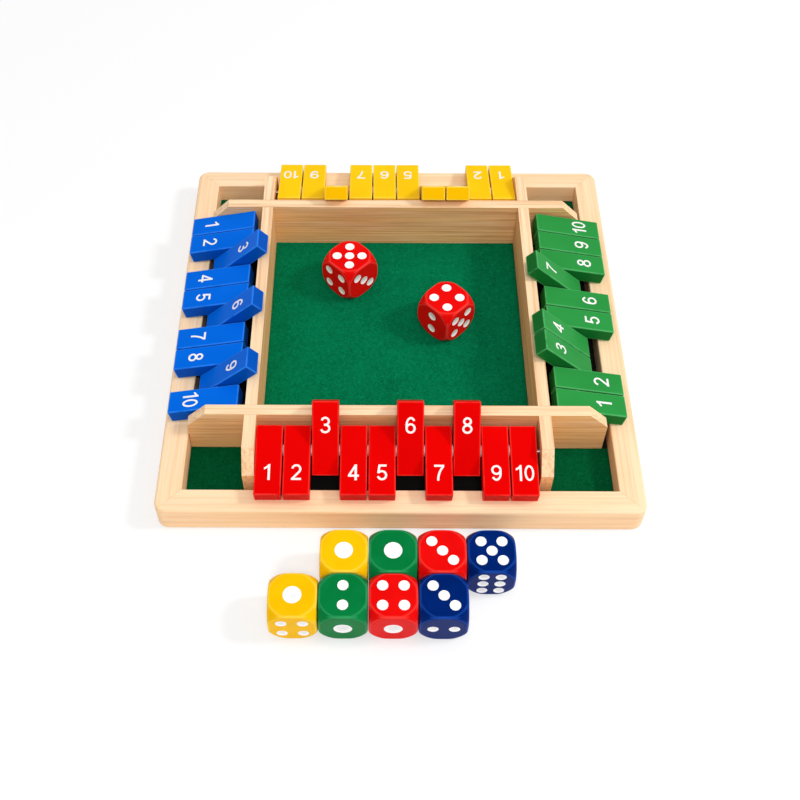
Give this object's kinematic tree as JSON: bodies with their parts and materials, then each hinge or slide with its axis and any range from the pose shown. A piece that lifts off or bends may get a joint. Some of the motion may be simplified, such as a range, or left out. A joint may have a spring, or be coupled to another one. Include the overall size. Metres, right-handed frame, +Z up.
{
  "type": "shut the box game",
  "caption": "Square wooden shut the box board for several players, with a felted dice tray, numbered flaps hinged on rods along every side, and coloured dice",
  "frame": {"origin": "the centre of the frame's underside, on the table", "axes": "+Z up; -Y towards the player of the red flaps, in front; +X to that player's right"},
  "size_m": [0.2806, 0.3493, 0.0506],
  "materials": {
    "pine": "pale pine, sanded and clear lacquered satin",
    "black_panel": "thin panel, matt black",
    "green_felt": "dark green short-pile felt",
    "steel": "plain bright steel rod",
    "white": "white nylon, and the white paint of numerals and pips",
    "red_paint": "satin red paint on wood",
    "green_paint": "satin green paint on wood",
    "yellow_paint": "satin yellow paint on wood",
    "blue_paint": "satin blue paint on wood",
    "red_dice": "polished red",
    "yellow_dice": "polished yellow",
    "green_dice": "polished dark green",
    "blue_dice": "polished dark blue"
  },
  "bodies": {
    "board": {"base_panel": "black_panel", "felt_pads": "green_felt", "front_back_rails": "pine", "side_rails": "pine", "front_board": "pine", "back_board": "pine", "left_board": "pine", "right_board": "pine", "axle_rods": "steel", "spacer_washers": "white"},
    "red_flap_1": {"red_flap_1": "red_paint"},
    "red_flap_2": {"red_flap_2": "red_paint"},
    "red_flap_3": {"red_flap_3": "red_paint"},
    "red_flap_4": {"red_flap_4": "red_paint"},
    "red_flap_5": {"red_flap_5": "red_paint"},
    "red_flap_6": {"red_flap_6": "red_paint"},
    "red_flap_7": {"red_flap_7": "red_paint"},
    "red_flap_8": {"red_flap_8": "red_paint"},
    "red_flap_9": {"red_flap_9": "red_paint"},
    "red_flap_10": {"red_flap_10": "red_paint"},
    "green_flap_1": {"green_flap_1": "green_paint"},
    "green_flap_2": {"green_flap_2": "green_paint"},
    "green_flap_3": {"green_flap_3": "green_paint"},
    "green_flap_4": {"green_flap_4": "green_paint"},
    "green_flap_5": {"green_flap_5": "green_paint"},
    "green_flap_6": {"green_flap_6": "green_paint"},
    "green_flap_7": {"green_flap_7": "green_paint"},
    "green_flap_8": {"green_flap_8": "green_paint"},
    "green_flap_9": {"green_flap_9": "green_paint"},
    "green_flap_10": {"green_flap_10": "green_paint"},
    "yellow_flap_1": {"yellow_flap_1": "yellow_paint"},
    "yellow_flap_2": {"yellow_flap_2": "yellow_paint"},
    "yellow_flap_3": {"yellow_flap_3": "yellow_paint"},
    "yellow_flap_4": {"yellow_flap_4": "yellow_paint"},
    "yellow_flap_5": {"yellow_flap_5": "yellow_paint"},
    "yellow_flap_6": {"yellow_flap_6": "yellow_paint"},
    "yellow_flap_7": {"yellow_flap_7": "yellow_paint"},
    "yellow_flap_8": {"yellow_flap_8": "yellow_paint"},
    "yellow_flap_9": {"yellow_flap_9": "yellow_paint"},
    "yellow_flap_10": {"yellow_flap_10": "yellow_paint"},
    "blue_flap_1": {"blue_flap_1": "blue_paint"},
    "blue_flap_2": {"blue_flap_2": "blue_paint"},
    "blue_flap_3": {"blue_flap_3": "blue_paint"},
    "blue_flap_4": {"blue_flap_4": "blue_paint"},
    "blue_flap_5": {"blue_flap_5": "blue_paint"},
    "blue_flap_6": {"blue_flap_6": "blue_paint"},
    "blue_flap_7": {"blue_flap_7": "blue_paint"},
    "blue_flap_8": {"blue_flap_8": "blue_paint"},
    "blue_flap_9": {"blue_flap_9": "blue_paint"},
    "blue_flap_10": {"blue_flap_10": "blue_paint"},
    "red_die_1": {"red_die_1": "red_dice"},
    "red_die_2": {"red_die_2": "red_dice"},
    "yellow_die_1": {"yellow_die_1": "yellow_dice"},
    "green_die_1": {"green_die_1": "green_dice"},
    "red_die_3": {"red_die_3": "red_dice"},
    "blue_die_1": {"blue_die_1": "blue_dice"},
    "yellow_die_2": {"yellow_die_2": "yellow_dice"},
    "green_die_2": {"green_die_2": "green_dice"},
    "red_die_4": {"red_die_4": "red_dice"},
    "blue_die_2": {"blue_die_2": "blue_dice"}
  },
  "joints": [
    {"name": "red_flap_1_hinge", "type": "hinge", "parent": "board", "child": "red_flap_1", "pos_m": [-0.0754, -0.1049, 0.028], "axis": [-1, 0, 0], "range_deg": [0, 148.87]},
    {"name": "red_flap_2_hinge", "type": "hinge", "parent": "board", "child": "red_flap_2", "pos_m": [-0.0592, -0.1049, 0.028], "axis": [-1, 0, 0], "range_deg": [0, 148.87]},
    {"name": "red_flap_3_hinge", "type": "hinge", "parent": "board", "child": "red_flap_3", "pos_m": [-0.043, -0.1049, 0.028], "axis": [-1, 0, 0], "range_deg": [-148.87, 0]},
    {"name": "red_flap_4_hinge", "type": "hinge", "parent": "board", "child": "red_flap_4", "pos_m": [-0.0268, -0.1049, 0.028], "axis": [-1, 0, 0], "range_deg": [0, 148.87]},
    {"name": "red_flap_5_hinge", "type": "hinge", "parent": "board", "child": "red_flap_5", "pos_m": [-0.0106, -0.1049, 0.028], "axis": [-1, 0, 0], "range_deg": [0, 148.87]},
    {"name": "red_flap_6_hinge", "type": "hinge", "parent": "board", "child": "red_flap_6", "pos_m": [0.0056, -0.1049, 0.028], "axis": [-1, 0, 0], "range_deg": [-148.87, 0]},
    {"name": "red_flap_7_hinge", "type": "hinge", "parent": "board", "child": "red_flap_7", "pos_m": [0.0218, -0.1049, 0.028], "axis": [-1, 0, 0], "range_deg": [0, 148.87]},
    {"name": "red_flap_8_hinge", "type": "hinge", "parent": "board", "child": "red_flap_8", "pos_m": [0.038, -0.1049, 0.028], "axis": [-1, 0, 0], "range_deg": [-148.87, 0]},
    {"name": "red_flap_9_hinge", "type": "hinge", "parent": "board", "child": "red_flap_9", "pos_m": [0.0542, -0.1049, 0.028], "axis": [-1, 0, 0], "range_deg": [0, 148.87]},
    {"name": "red_flap_10_hinge", "type": "hinge", "parent": "board", "child": "red_flap_10", "pos_m": [0.0704, -0.1049, 0.028], "axis": [-1, 0, 0], "range_deg": [0, 148.87]},
    {"name": "green_flap_1_hinge", "type": "hinge", "parent": "board", "child": "green_flap_1", "pos_m": [0.10501, -0.0719, 0.028], "axis": [0, -1, 0], "range_deg": [0, 148.87]},
    {"name": "green_flap_2_hinge", "type": "hinge", "parent": "board", "child": "green_flap_2", "pos_m": [0.10501, -0.0557, 0.028], "axis": [0, -1, 0], "range_deg": [0, 148.87]},
    {"name": "green_flap_3_hinge", "type": "hinge", "parent": "board", "child": "green_flap_3", "pos_m": [0.10501, -0.0395, 0.028], "axis": [0, -1, 0], "range_deg": [-148.87, 0]},
    {"name": "green_flap_4_hinge", "type": "hinge", "parent": "board", "child": "green_flap_4", "pos_m": [0.10501, -0.0233, 0.028], "axis": [0, -1, 0], "range_deg": [-148.87, 0]},
    {"name": "green_flap_5_hinge", "type": "hinge", "parent": "board", "child": "green_flap_5", "pos_m": [0.10501, -0.0071, 0.028], "axis": [0, -1, 0], "range_deg": [0, 148.87]},
    {"name": "green_flap_6_hinge", "type": "hinge", "parent": "board", "child": "green_flap_6", "pos_m": [0.10501, 0.0091, 0.028], "axis": [0, -1, 0], "range_deg": [0, 148.87]},
    {"name": "green_flap_7_hinge", "type": "hinge", "parent": "board", "child": "green_flap_7", "pos_m": [0.10501, 0.0253, 0.028], "axis": [0, -1, 0], "range_deg": [-148.87, 0]},
    {"name": "green_flap_8_hinge", "type": "hinge", "parent": "board", "child": "green_flap_8", "pos_m": [0.10501, 0.0415, 0.028], "axis": [0, -1, 0], "range_deg": [0, 148.87]},
    {"name": "green_flap_9_hinge", "type": "hinge", "parent": "board", "child": "green_flap_9", "pos_m": [0.10501, 0.0577, 0.028], "axis": [0, -1, 0], "range_deg": [0, 148.87]},
    {"name": "green_flap_10_hinge", "type": "hinge", "parent": "board", "child": "green_flap_10", "pos_m": [0.10501, 0.0739, 0.028], "axis": [0, -1, 0], "range_deg": [0, 148.87]},
    {"name": "yellow_flap_1_hinge", "type": "hinge", "parent": "board", "child": "yellow_flap_1", "pos_m": [0.072, 0.10851, 0.028], "axis": [1, 0, 0], "range_deg": [0, 148.87]},
    {"name": "yellow_flap_2_hinge", "type": "hinge", "parent": "board", "child": "yellow_flap_2", "pos_m": [0.0558, 0.10851, 0.028], "axis": [1, 0, 0], "range_deg": [0, 148.87]},
    {"name": "yellow_flap_3_hinge", "type": "hinge", "parent": "board", "child": "yellow_flap_3", "pos_m": [0.0396, 0.10851, 0.028], "axis": [1, 0, 0], "range_deg": [-148.87, 0]},
    {"name": "yellow_flap_4_hinge", "type": "hinge", "parent": "board", "child": "yellow_flap_4", "pos_m": [0.0234, 0.10851, 0.028], "axis": [1, 0, 0], "range_deg": [-148.87, 0]},
    {"name": "yellow_flap_5_hinge", "type": "hinge", "parent": "board", "child": "yellow_flap_5", "pos_m": [0.0072, 0.10851, 0.028], "axis": [1, 0, 0], "range_deg": [0, 148.87]},
    {"name": "yellow_flap_6_hinge", "type": "hinge", "parent": "board", "child": "yellow_flap_6", "pos_m": [-0.009, 0.10851, 0.028], "axis": [1, 0, 0], "range_deg": [0, 148.87]},
    {"name": "yellow_flap_7_hinge", "type": "hinge", "parent": "board", "child": "yellow_flap_7", "pos_m": [-0.0252, 0.10851, 0.028], "axis": [1, 0, 0], "range_deg": [0, 148.87]},
    {"name": "yellow_flap_8_hinge", "type": "hinge", "parent": "board", "child": "yellow_flap_8", "pos_m": [-0.0414, 0.10851, 0.028], "axis": [1, 0, 0], "range_deg": [-148.87, 0]},
    {"name": "yellow_flap_9_hinge", "type": "hinge", "parent": "board", "child": "yellow_flap_9", "pos_m": [-0.0576, 0.10851, 0.028], "axis": [1, 0, 0], "range_deg": [0, 148.87]},
    {"name": "yellow_flap_10_hinge", "type": "hinge", "parent": "board", "child": "yellow_flap_10", "pos_m": [-0.0738, 0.10851, 0.028], "axis": [1, 0, 0], "range_deg": [0, 148.87]},
    {"name": "blue_flap_1_hinge", "type": "hinge", "parent": "board", "child": "blue_flap_1", "pos_m": [-0.10841, 0.0755, 0.028], "axis": [0, 1, 0], "range_deg": [0, 148.87]},
    {"name": "blue_flap_2_hinge", "type": "hinge", "parent": "board", "child": "blue_flap_2", "pos_m": [-0.10841, 0.0593, 0.028], "axis": [0, 1, 0], "range_deg": [0, 148.87]},
    {"name": "blue_flap_3_hinge", "type": "hinge", "parent": "board", "child": "blue_flap_3", "pos_m": [-0.10841, 0.0431, 0.028], "axis": [0, 1, 0], "range_deg": [-148.87, 0]},
    {"name": "blue_flap_4_hinge", "type": "hinge", "parent": "board", "child": "blue_flap_4", "pos_m": [-0.10841, 0.0269, 0.028], "axis": [0, 1, 0], "range_deg": [0, 148.87]},
    {"name": "blue_flap_5_hinge", "type": "hinge", "parent": "board", "child": "blue_flap_5", "pos_m": [-0.10841, 0.0107, 0.028], "axis": [0, 1, 0], "range_deg": [0, 148.87]},
    {"name": "blue_flap_6_hinge", "type": "hinge", "parent": "board", "child": "blue_flap_6", "pos_m": [-0.10841, -0.0055, 0.028], "axis": [0, 1, 0], "range_deg": [-148.87, 0]},
    {"name": "blue_flap_7_hinge", "type": "hinge", "parent": "board", "child": "blue_flap_7", "pos_m": [-0.10841, -0.0217, 0.028], "axis": [0, 1, 0], "range_deg": [0, 148.87]},
    {"name": "blue_flap_8_hinge", "type": "hinge", "parent": "board", "child": "blue_flap_8", "pos_m": [-0.10841, -0.0379, 0.028], "axis": [0, 1, 0], "range_deg": [0, 148.87]},
    {"name": "blue_flap_9_hinge", "type": "hinge", "parent": "board", "child": "blue_flap_9", "pos_m": [-0.10841, -0.0541, 0.028], "axis": [0, 1, 0], "range_deg": [-148.87, 0]},
    {"name": "blue_flap_10_hinge", "type": "hinge", "parent": "board", "child": "blue_flap_10", "pos_m": [-0.10841, -0.0703, 0.028], "axis": [0, 1, 0], "range_deg": [0, 148.87]},
    {"name": "red_die_1_lift", "type": "slide", "parent": "board", "child": "red_die_1", "axis": [0, 0, 1], "range_m": [0, 0.06]},
    {"name": "red_die_2_lift", "type": "slide", "parent": "board", "child": "red_die_2", "axis": [0, 0, 1], "range_m": [0, 0.06]},
    {"name": "yellow_die_1_lift", "type": "slide", "parent": "board", "child": "yellow_die_1", "axis": [0, 0, 1], "range_m": [0, 0.06]},
    {"name": "green_die_1_lift", "type": "slide", "parent": "board", "child": "green_die_1", "axis": [0, 0, 1], "range_m": [0, 0.06]},
    {"name": "red_die_3_lift", "type": "slide", "parent": "board", "child": "red_die_3", "axis": [0, 0, 1], "range_m": [0, 0.06]},
    {"name": "blue_die_1_lift", "type": "slide", "parent": "board", "child": "blue_die_1", "axis": [0, 0, 1], "range_m": [0, 0.06]},
    {"name": "yellow_die_2_lift", "type": "slide", "parent": "board", "child": "yellow_die_2", "axis": [0, 0, 1], "range_m": [0, 0.06]},
    {"name": "green_die_2_lift", "type": "slide", "parent": "board", "child": "green_die_2", "axis": [0, 0, 1], "range_m": [0, 0.06]},
    {"name": "red_die_4_lift", "type": "slide", "parent": "board", "child": "red_die_4", "axis": [0, 0, 1], "range_m": [0, 0.06]},
    {"name": "blue_die_2_lift", "type": "slide", "parent": "board", "child": "blue_die_2", "axis": [0, 0, 1], "range_m": [0, 0.06]}
  ]
}
